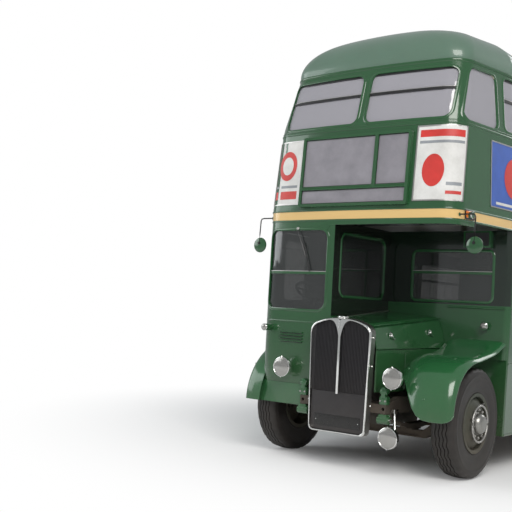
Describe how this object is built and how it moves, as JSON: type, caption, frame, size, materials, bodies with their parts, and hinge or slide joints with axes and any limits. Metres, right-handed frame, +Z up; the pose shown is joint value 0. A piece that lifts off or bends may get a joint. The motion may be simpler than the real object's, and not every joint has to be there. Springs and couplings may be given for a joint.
{
  "type": "double decker bus",
  "caption": "Half-cab double decker bus with a front engine beside the cab, two saloons, an open rear platform with stairs, steering front wheels and twin rear wheels",
  "frame": {"origin": "on the ground under the middle of the overall box", "axes": "+X towards the nearside (kerb side), +Y towards the rear, +Z up; the front faces -Y"},
  "size_m": [2.53, 7.9395, 4.356],
  "materials": {
    "body_green": "deep gloss green coach paint",
    "roof_green": "gloss green coach paint, weathered",
    "wing_green": "gloss mid green coach paint",
    "bright_trim": "polished bright metal",
    "grille_black": "satin black painted slats",
    "box_frame": "gloss green frame with dark blinds",
    "window_glass": "clear flat glass",
    "tyre_rubber": "worn black tyre rubber",
    "wheel_paint": "dark painted pressed steel",
    "chassis_black": "black chassis paint with road dirt",
    "cast_metal": "painted cast metal",
    "pipe_metal": "heat-browned steel",
    "floor_board": "ribbed hardwood floor",
    "bulkhead_green": "gloss green coach paint",
    "seat_cloth": "patterned woollen seat cloth",
    "seat_hide": "dark brown hide",
    "stair_paint": "painted steps with metal edges",
    "lamp_colour": "coloured lamp glass",
    "rail_metal": "pale enamelled tube",
    "black_plastic": "black moulded rim"
  },
  "bodies": {
    "bus": {"upper_front_wall": "body_green", "upper_side_walls": "body_green", "upper_rear_wall": "body_green", "roof": "roof_green", "upper_floor": "floor_board", "lower_side_walls": "body_green", "lower_rear_wall": "body_green", "front_bulkhead": "bulkhead_green", "rear_bulkhead": "bulkhead_green", "lower_floor": "floor_board", "platform": "floor_board", "staircase": "stair_paint", "cab_shell": "body_green", "upper_glass": "window_glass", "lower_glass": "window_glass", "destination_boxes": "box_frame", "radiator_shell": "bright_trim", "radiator_core": "grille_black", "bonnet_side": "body_green", "front_wings": "wing_green", "chassis_frame": "chassis_black", "cross_members": "chassis_black", "engine": "cast_metal", "gearbox_and_shafts": "cast_metal", "fuel_tank": "chassis_black", "exhaust": "pipe_metal", "road_springs": "chassis_black", "front_axle": "chassis_black", "rear_axle": "chassis_black", "headlamps": "bright_trim", "small_lamps": "lamp_colour", "mirrors": "grille_black", "handrails": "rail_metal", "passenger_seats": "seat_cloth", "driver_seat": "seat_hide", "steering_column": "chassis_black"},
    "nearside_knuckle": {"knuckle_nearside": "chassis_black"},
    "offside_knuckle": {"knuckle_offside": "chassis_black"},
    "nearside_front_wheel": {"front_wheel_nearside": "wheel_paint", "front_tyre_nearside": "tyre_rubber"},
    "offside_front_wheel": {"front_wheel_offside": "wheel_paint", "front_tyre_offside": "tyre_rubber"},
    "nearside_rear_wheels": {"rear_wheels_nearside": "wheel_paint", "rear_tyres_nearside": "tyre_rubber"},
    "offside_rear_wheels": {"rear_wheels_offside": "wheel_paint", "rear_tyres_offside": "tyre_rubber"},
    "steering": {"steering_wheel": "black_plastic"},
    "cab_door": {"cab_door": "body_green", "cab_door_glass": "window_glass"},
    "emergency_door": {"emergency_door": "body_green", "emergency_door_glass": "window_glass"},
    "bonnet_lid": {"bonnet_lid": "body_green"}
  },
  "joints": [
    {"name": "steer_nearside", "type": "hinge", "parent": "bus", "child": "nearside_knuckle", "pos_m": [0.885, -3.2525, 0.509], "axis": [0, 0, 1], "range_deg": [-30, 30]},
    {"name": "steer_offside", "type": "hinge", "parent": "bus", "child": "offside_knuckle", "pos_m": [-0.885, -3.2525, 0.509], "axis": [0, 0, 1], "range_deg": [-30, 30]},
    {"name": "front_wheel_nearside_spin", "type": "hinge", "parent": "nearside_knuckle", "child": "nearside_front_wheel", "pos_m": [0.972, -3.2525, 0.509], "axis": [1, 0, 0], "continuous": true},
    {"name": "front_wheel_offside_spin", "type": "hinge", "parent": "offside_knuckle", "child": "offside_front_wheel", "pos_m": [-0.972, -3.2525, 0.509], "axis": [1, 0, 0], "continuous": true},
    {"name": "rear_wheels_nearside_spin", "type": "hinge", "parent": "bus", "child": "nearside_rear_wheels", "pos_m": [0.8325, 1.7255, 0.509], "axis": [1, 0, 0], "continuous": true},
    {"name": "rear_wheels_offside_spin", "type": "hinge", "parent": "bus", "child": "offside_rear_wheels", "pos_m": [-0.8325, 1.7255, 0.509], "axis": [1, 0, 0], "continuous": true},
    {"name": "steering_wheel_turn", "type": "hinge", "parent": "bus", "child": "steering", "pos_m": [-0.65, -3.395, 1.64], "axis": [0, 0.4695, 0.8829], "range_deg": [-600, 600]},
    {"name": "cab_door_swing", "type": "hinge", "parent": "bus", "child": "cab_door", "pos_m": [-1.141, -2.884, 1.7], "axis": [0, 0, -1], "range_deg": [0, 85]},
    {"name": "emergency_door_swing", "type": "hinge", "parent": "bus", "child": "emergency_door", "pos_m": [0, 3.961, 3.104], "axis": [-1, 0, 0], "range_deg": [0, 90]},
    {"name": "bonnet_lid_lift", "type": "hinge", "parent": "bus", "child": "bonnet_lid", "pos_m": [-0.177, -3.3, 1.502], "axis": [0, -1, 0], "range_deg": [0, 55]}
  ],
  "couplings": [
    {"joint": "steer_offside", "follows": "steer_nearside", "ratio": 1},
    {"joint": "steering_wheel_turn", "follows": "steer_nearside", "ratio": 20}
  ]
}
